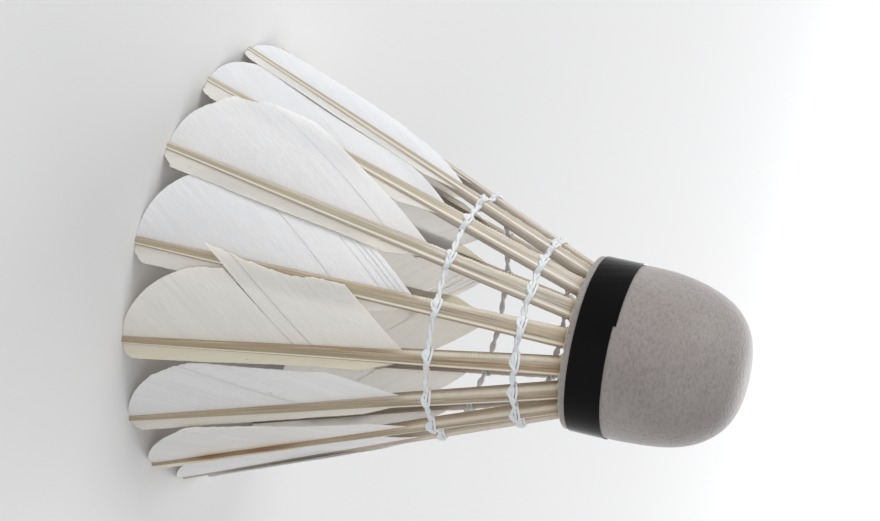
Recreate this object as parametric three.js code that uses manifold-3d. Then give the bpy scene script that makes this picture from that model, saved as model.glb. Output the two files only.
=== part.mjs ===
// A feather shuttlecock that stands on its feather tips, cork up.
// Millimetres, +Z up along the shuttle's axis. The origin is the centre of the tip circle, on the surface
// that the tips stand on.
import * as THREE from "three";
import { mergeVertices } from "three/addons/utils/BufferGeometryUtils.js";
import Module from "manifold-3d";

const wasm = await Module();
wasm.setup();

// ---- driving dimensions ----
// Skirt of feathers
const FEATHER_COUNT = 16; // an even number, because neighbours lie in and out by turns
const FIRST_FEATHER_ANGLE = 200.85; // degrees, counterclockwise from +X
const SKIRT_HEIGHT = 56.93; // from the tips up to the cork's end face
const TIP_RADIUS = 35.15; // circle of the quills at the tips
const SKIRT_OVAL = 1.36; // how far the tip circle is pressed in along X, and let out along Y

// Cork head
const CORK_RADIUS = 13; // over the cover
const CORK_HEIGHT = 24.49; // end face to nose
const CORK_STRAIGHT = 5.61; // straight side before the dome begins
const NOSE_SQUARENESS = 3.08; // exponent of the dome's superellipse, 2 is an ellipse
const COVER_THICKNESS = 0.5;
const COVER_FIT = 0.1; // between the cover and the cork in it
const CORE_HEIGHT = 12; // the drilled lower cork, under the nose cork
const CORK_JOINT = 0.15; // glue film between the two corks
const TAPE_SETBACK = 0.96; // strip of cover left bare beside the end face
const TAPE_WIDTH = 5.63;
const TAPE_THICKNESS = 0.15;
const TAPE_FIT = 0.05;

// Quill: half widths along the circle and half heights across it, at three stations
const QUILL_DEPTH = 8.5; // how far it is set into the cork
const QUILL_HOLE_FIT = 0.12;
const QUILL_HOLE_EXTRA_DEPTH = 0.5;
const CORK_EDGE_WALL = 1.03; // cork left outside the quill holes at the end face
const ROOT_END_HALF = { wide: 0.85, high: 0.75 };
const CORK_FACE_HALF = { wide: 1.5, high: 0.95 };
const TIP_HALF = { wide: 0.6, high: 0.45 };

// Vanes
const BARBS_PAST_THREAD = 3.18; // from the lower thread row down to the first barbs, along the axis
const VANE_THICKNESS = 0.3;
const VANE_FIT = 0.1; // from the side of the quill to the vane
const WIDE_VANE_WIDTH = 12.4;
const WIDE_VANE_END_ROUND = 7.5;
const WIDE_VANE_CUT_SLOPE = 1.05; // rise of the cut root end over its run, along the barbs
const NARROW_VANE_WIDTH = 2.4;
const NARROW_VANE_CUT = 5; // length of its slanted ends
const VANE_ROOT_LIFT = 0.1; // the vane joins the quill this far outside the quill's middle
const NEIGHBOUR_CLEARANCE = 0.4; // from a vane's middle to the quill that it passes over or under

// Thread
const THREAD_ROW_DROPS = { cork_side: 6.61, tip_side: 18.02 }; // below the cork's end face
const THREAD_THICKNESS = 0.45;
const THREAD_BAND = 0.7; // height of the turns around each quill
const THREAD_FIT = 0.1;
const KNOT_RADIUS = 0.75;
const KNOT_SPANS = { cork_side: 15, tip_side: 14 }; // the feather before the knot, counted from 0

// Glue on the end face, around the quills
const GLUE_REACH = 2; // inward and outward from the middles of the quills
const GLUE_THICKNESS = 0.35;
const GLUE_FIT = 0.05;

// Fineness of round shapes
const CORK_SEGMENTS = 40;
const DOME_STEPS = 7;
const WIDE_VANE_COLUMNS = 3;
const WIDE_VANE_END_STEPS = 5;
const WIDE_VANE_CUT_STEPS = 3;
const STRAIGHT_STEPS = 2;
const KNOT_STEPS = 5;
const THREAD_SIDES = 5;

// ---- sizes that follow ----
const FEATHER_STEP = (2 * Math.PI) / FEATHER_COUNT;
const CORE_RADIUS = CORK_RADIUS - COVER_THICKNESS - COVER_FIT;
// Circle of the quills' middles where they enter the cork
const ROOT_RADIUS = CORE_RADIUS - CORK_EDGE_WALL - QUILL_HOLE_FIT - CORK_FACE_HALF.high;
const BARE_QUILL = THREAD_ROW_DROPS.tip_side + BARBS_PAST_THREAD;
const HOLE_DEPTH = QUILL_DEPTH + QUILL_HOLE_EXTRA_DEPTH;

// ---- materials ----
const leather = () => new THREE.MeshStandardMaterial({ color: 0xb9b4b0, roughness: 0.75, metalness: 0 });
const tape = () => new THREE.MeshStandardMaterial({ color: 0x08090c, roughness: 0.15, metalness: 0 });
const quillHorn = () => new THREE.MeshStandardMaterial({ color: 0xcfc3a0, roughness: 0.5, metalness: 0 });
const barbs = () => new THREE.MeshStandardMaterial({ color: 0xeceae4, roughness: 0.8, metalness: 0 });
const cotton = () => new THREE.MeshStandardMaterial({ color: 0xeef0f2, roughness: 0.85, metalness: 0 });
const cork = () => new THREE.MeshStandardMaterial({ color: 0xb98a5a, roughness: 0.9, metalness: 0 });
const driedGlue = () => new THREE.MeshStandardMaterial({ color: 0xd9cfae, roughness: 0.35, metalness: 0 });

// ---- solids, joined and cut ----
function toSolid(geometry) {
  const bare = geometry.index ? geometry.toNonIndexed() : geometry.clone();
  bare.deleteAttribute("normal");
  bare.deleteAttribute("uv");
  const merged = mergeVertices(bare, 1e-4);
  return new wasm.Manifold(
    new wasm.Mesh({
      numProp: 3,
      vertProperties: merged.attributes.position.array,
      triVerts: new Uint32Array(merged.index.array),
    }),
  );
}

function toGeometry(solid) {
  const made = solid.getMesh();
  return new THREE.BufferGeometry()
    .setAttribute("position", new THREE.BufferAttribute(new Float32Array(made.vertProperties), 3))
    .setIndex(new THREE.BufferAttribute(new Uint32Array(made.triVerts), 1));
}

// A closed solid between rings of points: each ring has the same number of points, and the first and last
// ring are filled flat.
function loftRings(rings) {
  const count = rings[0].length;
  const positions = rings.flat().flatMap((p) => [p.x, p.y, p.z]);
  const faces = [];
  for (let ring = 0; ring + 1 < rings.length; ring++) {
    for (let side = 0; side < count; side++) {
      const a = ring * count + side;
      const b = ring * count + ((side + 1) % count);
      faces.push(a, b, b + count, a, b + count, a + count);
    }
  }
  const last = (rings.length - 1) * count;
  for (let side = 1; side + 1 < count; side++) {
    faces.push(0, side + 1, side);
    faces.push(last, last + side, last + side + 1);
  }
  return new THREE.BufferGeometry()
    .setAttribute("position", new THREE.Float32BufferAttribute(positions, 3))
    .setIndex(faces);
}

function lathe(profile) {
  const points = profile.map(([radius, height]) => new THREE.Vector2(radius, height));
  return new THREE.LatheGeometry(points, CORK_SEGMENTS).rotateX(Math.PI / 2);
}

// ---- the skirt's surface ----
// Radius of the skirt where the quills' middles run, at an angle and at a drop below the cork's end face.
function skirtRadius(angle, drop) {
  const tipRadius = TIP_RADIUS - SKIRT_OVAL * Math.cos(2 * angle);
  return THREE.MathUtils.lerp(ROOT_RADIUS, tipRadius, drop / SKIRT_HEIGHT);
}

function featherAngle(index) {
  return THREE.MathUtils.degToRad(FIRST_FEATHER_ANGLE) + index * FEATHER_STEP;
}

function skirtPoint(angle, drop, lift) {
  const radius = skirtRadius(angle, drop) + lift;
  return new THREE.Vector3(radius * Math.cos(angle), radius * Math.sin(angle), SKIRT_HEIGHT - drop);
}

// ---- quills ----
// Half sizes of the quill at a drop: it swells from its root end to the cork's face, then thins to the tip.
function quillHalf(drop) {
  const inCork = drop < 0;
  const from = inCork ? ROOT_END_HALF : CORK_FACE_HALF;
  const to = inCork ? CORK_FACE_HALF : TIP_HALF;
  const share = inCork ? 1 + drop / QUILL_DEPTH : drop / SKIRT_HEIGHT;
  const held = Math.max(share, 0);
  return {
    wide: THREE.MathUtils.lerp(from.wide, to.wide, held),
    high: THREE.MathUtils.lerp(from.high, to.high, held),
  };
}

// The directions of one feather: along its circle, out of the skirt, and down along the quill.
function featherFrame(index) {
  const angle = featherAngle(index);
  const root = skirtPoint(angle, 0, 0);
  const along = skirtPoint(angle, SKIRT_HEIGHT, 0).sub(root).normalize();
  const around = new THREE.Vector3(-Math.sin(angle), Math.cos(angle), 0);
  const out = new THREE.Vector3().crossVectors(along, around).normalize();
  return { root, along, around, out };
}

const FACET_SHARE = 0.5; // part of each side of the quill's section that is flat

// The quill's eight-sided section at a drop, grown by a gap. Each corner slides along the quill until it
// lies in the level plane of that drop, so the tip ends flat on the standing surface.
function quillSection(index, drop, grow) {
  const { root, along, around, out } = featherFrame(index);
  const half = quillHalf(drop);
  const wide = half.wide + grow;
  const high = half.high + grow;
  const flatWide = wide * FACET_SHARE;
  const flatHigh = high * FACET_SHARE;
  const corners = [
    [wide, -flatHigh],
    [wide, flatHigh],
    [flatWide, high],
    [-flatWide, high],
    [-wide, flatHigh],
    [-wide, -flatHigh],
    [-flatWide, -high],
    [flatWide, -high],
  ];
  return corners.map(([sideways, outward]) => {
    const corner = root.clone().addScaledVector(around, sideways).addScaledVector(out, outward);
    const slide = (SKIRT_HEIGHT - drop - corner.z) / along.z;
    return corner.addScaledVector(along, slide);
  });
}

const QUILL_STATIONS = [-QUILL_DEPTH, -QUILL_DEPTH / 2, 0, SKIRT_HEIGHT / 3, (2 * SKIRT_HEIGHT) / 3, SKIRT_HEIGHT];

function quillGeometry(index) {
  return loftRings(QUILL_STATIONS.map((drop) => quillSection(index, drop, 0)));
}

// The space that the cork and the glue leave for a quill, from the hole's bottom to below the end face.
function quillRoom(index) {
  const past = GLUE_FIT + 2 * GLUE_THICKNESS;
  const stations = [-HOLE_DEPTH, -QUILL_DEPTH / 2, 0, past];
  return toSolid(loftRings(stations.map((drop) => quillSection(index, drop, QUILL_HOLE_FIT))));
}

// ---- vanes ----
// Every other feather lies outside its neighbours, the ones between lie inside.
const liesOutside = (index) => index % 2 === 0;

// How far a vane stands off the skirt's surface. It starts beside its own quill and rises or falls
// evenly until it clears the next quill.
function vaneLift(index, drop, distance) {
  const pitch = skirtRadius(featherAngle(index), drop) * FEATHER_STEP;
  const atNeighbour = quillHalf(drop).high + NEIGHBOUR_CLEARANCE;
  const end = liesOutside(index) ? atNeighbour : -atNeighbour;
  return THREE.MathUtils.lerp(VANE_ROOT_LIFT, end, distance / pitch);
}

// A thin closed sheet beside a quill, with a row of points at each drop. turn is -1 for the side of the
// wide vane and +1 for the other, and widthAt gives the vane's width at a drop.
function vaneGeometry(index, turn, columns, drops, widthAt, liftAt) {
  const rings = drops.map((drop) => {
    const start = quillHalf(drop).wide + VANE_FIT;
    const radius = skirtRadius(featherAngle(index), drop);
    const face = (side) => {
      const line = [];
      for (let column = 0; column <= columns; column++) {
        const distance = start + (widthAt(drop) * column) / columns;
        const angle = featherAngle(index) + (turn * distance) / radius;
        line.push(skirtPoint(angle, drop, liftAt(drop, distance) + (side * VANE_THICKNESS) / 2));
      }
      return line;
    };
    const ring = [...face(1), ...face(-1).reverse()];
    return turn < 0 ? ring : ring.reverse();
  });
  return loftRings(rings);
}

// Evenly spaced values from one end to the other.
function evenSteps(from, to, steps) {
  return Array.from({ length: steps + 1 }, (_, step) => THREE.MathUtils.lerp(from, to, step / steps));
}

const LEAST_WIDTH = 0.5; // of a vane at its pointed ends

// The wide vane: a slanted cut at the root end, an even width, and a round end at the tip.
function wideVaneWidth(drop) {
  const cut = LEAST_WIDTH + (drop - BARE_QUILL) / WIDE_VANE_CUT_SLOPE;
  const intoRound = Math.max(0, drop - (SKIRT_HEIGHT - WIDE_VANE_END_ROUND)) / WIDE_VANE_END_ROUND;
  const round = WIDE_VANE_WIDTH * Math.sqrt(Math.max(0, 1 - intoRound ** 2));
  return Math.max(LEAST_WIDTH, Math.min(cut, round));
}

function wideVaneGeometry(index) {
  const cutEnd = BARE_QUILL + (WIDE_VANE_WIDTH - LEAST_WIDTH) * WIDE_VANE_CUT_SLOPE;
  const roundStart = SKIRT_HEIGHT - WIDE_VANE_END_ROUND;
  const roundTurns = evenSteps(0, Math.PI / 2, WIDE_VANE_END_STEPS);
  const drops = [
    ...evenSteps(BARE_QUILL, cutEnd, WIDE_VANE_CUT_STEPS).slice(0, -1),
    ...evenSteps(cutEnd, roundStart, STRAIGHT_STEPS).slice(0, -1),
    ...roundTurns.map((turn) => roundStart + WIDE_VANE_END_ROUND * Math.sin(turn)),
  ];
  const lift = (drop, distance) => vaneLift(index, drop, distance);
  return vaneGeometry(index, -1, WIDE_VANE_COLUMNS, drops, wideVaneWidth, lift);
}

// The narrow vane: a strip with both ends slanted.
function narrowVaneWidth(drop) {
  const fromEnd = Math.min(drop - BARE_QUILL, SKIRT_HEIGHT - drop);
  const share = Math.min(1, fromEnd / NARROW_VANE_CUT);
  return THREE.MathUtils.lerp(LEAST_WIDTH, NARROW_VANE_WIDTH, share);
}

function narrowVaneGeometry(index) {
  const straight = evenSteps(BARE_QUILL + NARROW_VANE_CUT, SKIRT_HEIGHT - NARROW_VANE_CUT, STRAIGHT_STEPS);
  const drops = [BARE_QUILL, ...straight, SKIRT_HEIGHT];
  return vaneGeometry(index, 1, 1, drops, narrowVaneWidth, () => VANE_ROOT_LIFT);
}

// ---- cork head ----
// Points of the head's outline from the end of the straight side over the dome to the nose, inset by a
// wall. Heights are above the tips' plane.
function domeOutline(inset) {
  const radius = CORK_RADIUS - inset;
  const rise = CORK_HEIGHT - CORK_STRAIGHT - inset;
  const points = [];
  for (let step = 0; step <= DOME_STEPS; step++) {
    const turn = (step / DOME_STEPS) * (Math.PI / 2);
    const outward = step === DOME_STEPS ? 0 : radius * Math.cos(turn) ** (2 / NOSE_SQUARENESS);
    const upward = rise * Math.sin(turn) ** (2 / NOSE_SQUARENESS);
    points.push([outward, SKIRT_HEIGHT + CORK_STRAIGHT + upward]);
  }
  return points;
}

function coverGeometry() {
  const outside = domeOutline(0);
  const inside = domeOutline(COVER_THICKNESS).reverse();
  const mouthInside = [CORK_RADIUS - COVER_THICKNESS, SKIRT_HEIGHT];
  const mouthOutside = [CORK_RADIUS, SKIRT_HEIGHT];
  return lathe([...inside, mouthInside, mouthOutside, ...outside]);
}

// The whole cork inside the cover, as one lathe-turned blank.
function corkBlank() {
  return toSolid(lathe([[0, SKIRT_HEIGHT], [CORE_RADIUS, SKIRT_HEIGHT], ...domeOutline(COVER_THICKNESS + COVER_FIT)]));
}

// A disc wide enough to cut any slice of the cork, between two heights above its end face.
function corkSlice(low, high) {
  const disc = new THREE.CylinderGeometry(2 * CORK_RADIUS, 2 * CORK_RADIUS, high - low, CORK_SEGMENTS);
  disc.rotateX(Math.PI / 2).translate(0, 0, SKIRT_HEIGHT + (low + high) / 2);
  return toSolid(disc);
}

function coreCorkGeometry() {
  let core = corkBlank().intersect(corkSlice(-1, CORE_HEIGHT));
  for (let index = 0; index < FEATHER_COUNT; index++) core = core.subtract(quillRoom(index));
  return toGeometry(core);
}

function noseCorkGeometry() {
  return toGeometry(corkBlank().intersect(corkSlice(CORE_HEIGHT + CORK_JOINT, CORK_HEIGHT + 1)));
}

// A ring of rectangular section around the axis.
function bandProfile(innerRadius, outerRadius, low, high) {
  return [
    [innerRadius, low],
    [outerRadius, low],
    [outerRadius, high],
    [innerRadius, high],
    [innerRadius, low],
  ];
}

function tapeGeometry() {
  const inner = CORK_RADIUS + TAPE_FIT;
  const low = SKIRT_HEIGHT + TAPE_SETBACK;
  return lathe(bandProfile(inner, inner + TAPE_THICKNESS, low, low + TAPE_WIDTH));
}

function rootGlueGeometry() {
  const high = SKIRT_HEIGHT - GLUE_FIT;
  let ring = toSolid(lathe(bandProfile(ROOT_RADIUS - GLUE_REACH, ROOT_RADIUS + GLUE_REACH, high - GLUE_THICKNESS, high)));
  for (let index = 0; index < FEATHER_COUNT; index++) ring = ring.subtract(quillRoom(index));
  return toGeometry(ring);
}

// ---- thread ----
// One turn around a quill: a band that follows the quill's section.
function threadTurn(index, drop) {
  const half = THREAD_BAND / 2;
  const inner = [-half, half].map((shift) => quillSection(index, drop + shift, THREAD_FIT));
  const outer = [-half, half].map((shift) => quillSection(index, drop + shift, THREAD_FIT + THREAD_THICKNESS));
  const past = [-2 * half, 2 * half].map((shift) => quillSection(index, drop + shift, THREAD_FIT));
  return toSolid(loftRings(outer)).subtract(toSolid(loftRings([past[0], ...inner, past[1]])));
}

// The middle of the thread where it leaves the wall of a turn, on the side of the next or last feather.
function threadLeaving(index, drop, turn) {
  const { around } = featherFrame(index);
  const middle = skirtPoint(featherAngle(index), drop, 0);
  return middle.addScaledVector(around, turn * (quillHalf(drop).wide + THREAD_FIT + THREAD_THICKNESS / 2));
}

function threadSpan(from, to) {
  const length = from.distanceTo(to);
  const strand = new THREE.CylinderGeometry(THREAD_THICKNESS / 2, THREAD_THICKNESS / 2, length, THREAD_SIDES);
  const direction = to.clone().sub(from).normalize();
  const quaternion = new THREE.Quaternion().setFromUnitVectors(new THREE.Vector3(0, 1, 0), direction);
  const middle = from.clone().lerp(to, 0.5);
  return toSolid(strand.applyQuaternion(quaternion).translate(middle.x, middle.y, middle.z));
}

function threadRowGeometry(drop, knotAfter) {
  const pieces = [];
  for (let index = 0; index < FEATHER_COUNT; index++) {
    const from = threadLeaving(index, drop, 1);
    const to = threadLeaving(index + 1, drop, -1);
    pieces.push(threadTurn(index, drop), threadSpan(from, to));
    if (index === knotAfter) {
      const knot = new THREE.SphereGeometry(KNOT_RADIUS, KNOT_STEPS, KNOT_STEPS);
      const middle = from.lerp(to, 0.5).setLength(from.length());
      pieces.push(toSolid(knot.scale(1, 1, 0.8).translate(middle.x, middle.y, middle.z)));
    }
  }
  return toGeometry(pieces.reduce((joined, piece) => joined.add(piece)));
}

// ---- the assembly ----
const shuttlecock = new THREE.Group();

function addPiece(name, geometry, material) {
  const mesh = new THREE.Mesh(geometry, material);
  mesh.name = name;
  shuttlecock.add(mesh);
}

for (let index = 0; index < FEATHER_COUNT; index++) {
  const feather = "feather_" + String(index + 1).padStart(2, "0");
  addPiece(feather + "_quill", quillGeometry(index), quillHorn());
  addPiece(feather + "_wide_vane", wideVaneGeometry(index), barbs());
  addPiece(feather + "_narrow_vane", narrowVaneGeometry(index), barbs());
}
addPiece("cork_core", coreCorkGeometry(), cork());
addPiece("cork_nose", noseCorkGeometry(), cork());
addPiece("cork_cover", coverGeometry(), leather());
addPiece("cork_tape", tapeGeometry(), tape());
addPiece("root_glue", rootGlueGeometry(), driedGlue());
for (const [row, drop] of Object.entries(THREAD_ROW_DROPS)) {
  addPiece("thread_row_" + row, threadRowGeometry(drop, KNOT_SPANS[row]), cotton());
}

export default shuttlecock;
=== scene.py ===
"""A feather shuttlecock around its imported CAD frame: barbed vanes, grooved quills, twisted thread, a leather
cork head with a glossy tape. Lengths in the functions are millimetres, and a mesh is made in metres."""

import math

import bpy
import numpy as np
from mathutils import Matrix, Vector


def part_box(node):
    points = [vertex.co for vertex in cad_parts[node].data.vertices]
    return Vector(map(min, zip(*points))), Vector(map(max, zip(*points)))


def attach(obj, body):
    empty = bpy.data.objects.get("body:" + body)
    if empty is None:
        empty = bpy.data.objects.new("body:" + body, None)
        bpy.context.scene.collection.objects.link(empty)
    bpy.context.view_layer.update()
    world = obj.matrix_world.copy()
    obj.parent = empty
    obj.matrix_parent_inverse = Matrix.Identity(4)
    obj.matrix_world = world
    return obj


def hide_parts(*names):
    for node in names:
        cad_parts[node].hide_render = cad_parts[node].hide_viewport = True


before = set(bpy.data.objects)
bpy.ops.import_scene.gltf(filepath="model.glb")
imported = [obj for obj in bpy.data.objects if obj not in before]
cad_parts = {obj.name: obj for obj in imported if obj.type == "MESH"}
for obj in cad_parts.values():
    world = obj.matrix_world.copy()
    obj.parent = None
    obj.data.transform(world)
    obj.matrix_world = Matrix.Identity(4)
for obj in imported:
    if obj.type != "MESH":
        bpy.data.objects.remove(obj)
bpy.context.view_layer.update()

MM = 0.001
FEATHERS = 16

# ---------------- what the frame says


def node_points(node):
    """The corners of a CAD node, in millimetres."""
    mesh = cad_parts[node].data
    points = np.empty(len(mesh.vertices) * 3)
    mesh.vertices.foreach_get("co", points)
    return points.reshape(-1, 3) / MM


def feather_name(index):
    """A feather's name in the frame, numbered from 01 round the skirt."""
    return f"feather_{index % FEATHERS + 1:02d}"


def quill_ends(index):
    """Middle of the quill's flat tip, and middle of its end in the cork."""
    points = node_points(feather_name(index) + "_quill")
    heights = points[:, 2]
    tip = points[heights < heights.min() + 0.05].mean(0)
    top = points[heights > heights.max() - 0.05].mean(0)
    return tip, top


FACE_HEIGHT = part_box("cork_core")[0].z / MM
CORK_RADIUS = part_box("cork_cover")[1].x / MM
NOSE_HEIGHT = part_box("cork_cover")[1].z / MM
TAPE_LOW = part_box("cork_tape")[0].z / MM
TAPE_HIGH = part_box("cork_tape")[1].z / MM
ROW_HEIGHTS = {
    row: (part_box("thread_row_" + row)[0].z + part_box("thread_row_" + row)[1].z) / 2 / MM
    for row in ("cork_side", "tip_side")
}
VANE_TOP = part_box("feather_01_wide_vane")[1].z / MM

ends = [quill_ends(index) for index in range(FEATHERS)]
TIPS = np.array([tip for tip, top in ends])
TOPS = np.array([top for tip, top in ends])
ANGLES = np.arctan2(TIPS[:, 1], TIPS[:, 0])
TIP_RADII = np.hypot(TIPS[:, 0], TIPS[:, 1])
TOP_RADII = np.hypot(TOPS[:, 0], TOPS[:, 1])
TOP_HEIGHT = TOPS[0, 2]
QUILL_LEAN = (TIP_RADII - TOP_RADII) / TOP_HEIGHT
FACE_RADIUS = float((TIP_RADII - QUILL_LEAN * FACE_HEIGHT).mean())
STEP = 2 * math.pi / FEATHERS


def tip_radius(angle):
    """Radius of the tip circle at an angle, read off between the sixteen tips."""
    order = np.argsort(ANGLES)
    around = np.concatenate([ANGLES[order] - 2 * math.pi, ANGLES[order], ANGLES[order] + 2 * math.pi])
    radii = np.tile(TIP_RADII[order], 3)
    wrapped = (np.asarray(angle) + math.pi) % (2 * math.pi) - math.pi
    return np.interp(wrapped, around, radii)


def skirt_radius(angle, drop):
    """Radius of the skirt's surface at an angle, and at a drop below the cork's end face: a straight line
    from the root circle to the tip circle."""
    return FACE_RADIUS + (tip_radius(angle) - FACE_RADIUS) * drop / FACE_HEIGHT


def around_axis(radius, angle, height):
    """Points about the shuttlecock's axis: a radius turned to an angle, at a height."""
    return np.stack(np.broadcast_arrays(radius * np.cos(angle), radius * np.sin(angle), height), -1)


def bell(values, middle, width):
    """A smooth bump of height 1 at the middle."""
    return np.exp(-(((np.asarray(values) - middle) / width) ** 2))


# ---------------- mesh makers


def make_piece(name, vertices, faces, material, attributes=(), crease=40):
    """One mesh object at the origin, from millimetres, with point attributes of three numbers."""
    mesh = bpy.data.meshes.new(name)
    mesh.from_pydata((vertices * MM).tolist(), [], faces)
    for label, values in attributes:
        layer = mesh.attributes.new(label, "FLOAT_VECTOR", "POINT")
        layer.data.foreach_set("vector", np.ascontiguousarray(values, np.float32).ravel())
    mesh.materials.append(material)
    mesh.polygons.foreach_set("use_smooth", np.ones(len(mesh.polygons), bool))
    mesh.set_sharp_from_angle(angle=math.radians(crease))
    piece = bpy.data.objects.new(name, mesh)
    bpy.context.scene.collection.objects.link(piece)
    return piece


def grid_faces(rows, columns, wrap_rows=False, wrap_columns=False, start=0):
    """Four-sided faces over a grid of points, closed on itself in either direction if asked."""
    index = np.arange(rows * columns).reshape(rows, columns) + start
    if wrap_rows:
        index = np.vstack([index, index[:1]])
    if wrap_columns:
        index = np.hstack([index, index[:, :1]])
    corners = [index[:-1, :-1], index[:-1, 1:], index[1:, 1:], index[1:, :-1]]
    return np.stack(corners, -1).reshape(-1, 4)


def thin_sheet(outer, inner, start=0):
    """Vertices and faces of a closed thin sheet between two grids of points: the two faces and a rim that
    goes once round the edge."""
    rows, columns = outer.shape[:2]
    count = rows * columns
    vertices = np.concatenate([outer.reshape(-1, 3), inner.reshape(-1, 3)])
    front = grid_faces(rows, columns)
    corner = vertices[front[:, 0]]
    normal = np.cross(vertices[front[:, 1]] - corner, vertices[front[:, 3]] - corner)
    facing = (normal * (corner - vertices[front[:, 0] + count])).sum()
    index = np.arange(count).reshape(rows, columns)
    edge = np.concatenate([index[0, :-1], index[:-1, -1], index[-1, :0:-1], index[:0:-1, 0]])
    following = np.roll(edge, -1)
    rim = np.stack([following, edge, edge + count, following + count], -1)
    faces = np.concatenate([front, front[:, ::-1] + count, rim])
    if facing < 0:
        faces = faces[:, ::-1]
    return vertices, faces + start


TUBE_UPRIGHT = np.array([0.13, 0.21, 0.97])  # close to the axis, and along no thread's path


def tube_frames(path, closed):
    """Directions along a path and two across it: the first across is square to the path and to one fixed
    direction, so that a tube on them doesn't twist."""
    ahead = np.roll(path, -1, 0) - np.roll(path, 1, 0)
    if not closed:
        ahead[0] = path[1] - path[0]
        ahead[-1] = path[-1] - path[-2]
    ahead /= np.linalg.norm(ahead, axis=1, keepdims=True)
    side = np.cross(ahead, TUBE_UPRIGHT)
    side /= np.linalg.norm(side, axis=1, keepdims=True)
    return ahead, side, np.cross(ahead, side)


def tube(path, radii, sides, closed, start=0):
    """A round tube along a path: a circle of points across the path at each of its points."""
    side, up = tube_frames(path, closed)[1:]
    turn = np.linspace(0, 2 * math.pi, sides, endpoint=False)
    radii = np.broadcast_to(radii, len(path))[:, None, None]
    circle = side[:, None] * np.cos(turn)[None, :, None] + up[:, None] * np.sin(turn)[None, :, None]
    points = path[:, None] + radii * circle
    faces = grid_faces(len(path), sides, wrap_rows=closed, wrap_columns=True)[:, ::-1]
    faces = (faces + start).tolist()
    if not closed:
        faces.append(tuple(range(start, start + sides)))
        last = start + (len(path) - 1) * sides
        faces.append(tuple(range(last + sides - 1, last - 1, -1)))
    return points.reshape(-1, 3), faces


NOISE_STEPS = 4096


def smooth_noise(values, seed, pitch=1.0):
    """Smooth seeded noise of one number, from -1 to 1: random heights a pitch apart, joined by eased
    steps."""
    heights = np.random.default_rng(seed).uniform(-1, 1, NOISE_STEPS)
    place = np.asarray(values) / pitch + NOISE_STEPS // 8
    low = np.floor(place).astype(int)
    share = place - low
    eased = share * share * (3 - 2 * share)
    return heights[low % NOISE_STEPS] * (1 - eased) + heights[(low + 1) % NOISE_STEPS] * eased


# ---------------- materials


class Shader:
    """A material's node tree, with short calls to add nodes and join them."""

    def __init__(self, name):
        self.material = bpy.data.materials.new(name)
        self.material.use_nodes = True
        self.tree = self.material.node_tree
        self.surface = self.tree.nodes["Principled BSDF"]

    def node(self, kind, settings=None, **inputs):
        made = self.tree.nodes.new("ShaderNode" + kind)
        for key, value in (settings or {}).items():
            setattr(made, key, value)
        for key, value in inputs.items():
            self.put(made.inputs[key.replace("_", " ")], value)
        return made

    def put(self, socket, value):
        if isinstance(value, bpy.types.NodeSocket):
            self.tree.links.new(value, socket)
        else:
            socket.default_value = value

    def set(self, **inputs):
        for key, value in inputs.items():
            self.put(self.surface.inputs[key.replace("_", " ")], value)

    def math(self, operation, first, second=0.0, clamp=False):
        made = self.node("Math", {"operation": operation, "use_clamp": clamp})
        self.put(made.inputs[0], first)
        self.put(made.inputs[1], second)
        return made.outputs[0]

    def ramp(self, value, *stops):
        made = self.node("ValToRGB")
        elements = made.color_ramp.elements
        while len(elements) < len(stops):
            elements.new(0.5)
        for element, (place, colour) in zip(elements, stops):
            element.position = place
            element.color = (*colour, 1) if len(colour) == 3 else colour
        self.put(made.inputs[0], value)
        return made.outputs[0]

    def mix(self, share, first, second, blend="MIX"):
        made = self.node("Mix", {"data_type": "RGBA", "blend_type": blend})
        self.put(made.inputs[0], share)
        self.put(made.inputs[6], first)
        self.put(made.inputs[7], second)
        return made.outputs[2]

    def noise(self, vector, scale, detail=3.0, rough=0.5):
        made = self.node("TexNoise", Vector=vector, Scale=scale, Detail=detail, Roughness=rough)
        return made.outputs["Fac"]

    def stretch(self, vector, scale):
        made = self.node("Mapping")
        self.put(made.inputs["Vector"], vector)
        made.inputs["Scale"].default_value = scale
        return made.outputs[0]

    def bump(self, height, strength, distance):
        made = self.node("Bump", Height=height)
        made.inputs["Strength"].default_value = strength
        made.inputs["Distance"].default_value = distance
        self.put(self.surface.inputs["Normal"], made.outputs[0])

    def place(self):
        return self.node("TexCoord").outputs["Object"]

    def attribute(self, name):
        """A point attribute of three numbers, as a vector."""
        return self.node("Attribute", {"attribute_name": name}).outputs["Vector"]

    def parts(self, vector):
        return self.node("SeparateXYZ", Vector=vector).outputs[:3]

    def wash(self, colour, share, strength, tone, blend="MIX"):
        """The colour with a tone laid over it, as strongly as a share times a strength."""
        return self.mix(self.math("MULTIPLY", share, strength), colour, (*tone, 1), blend)


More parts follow.
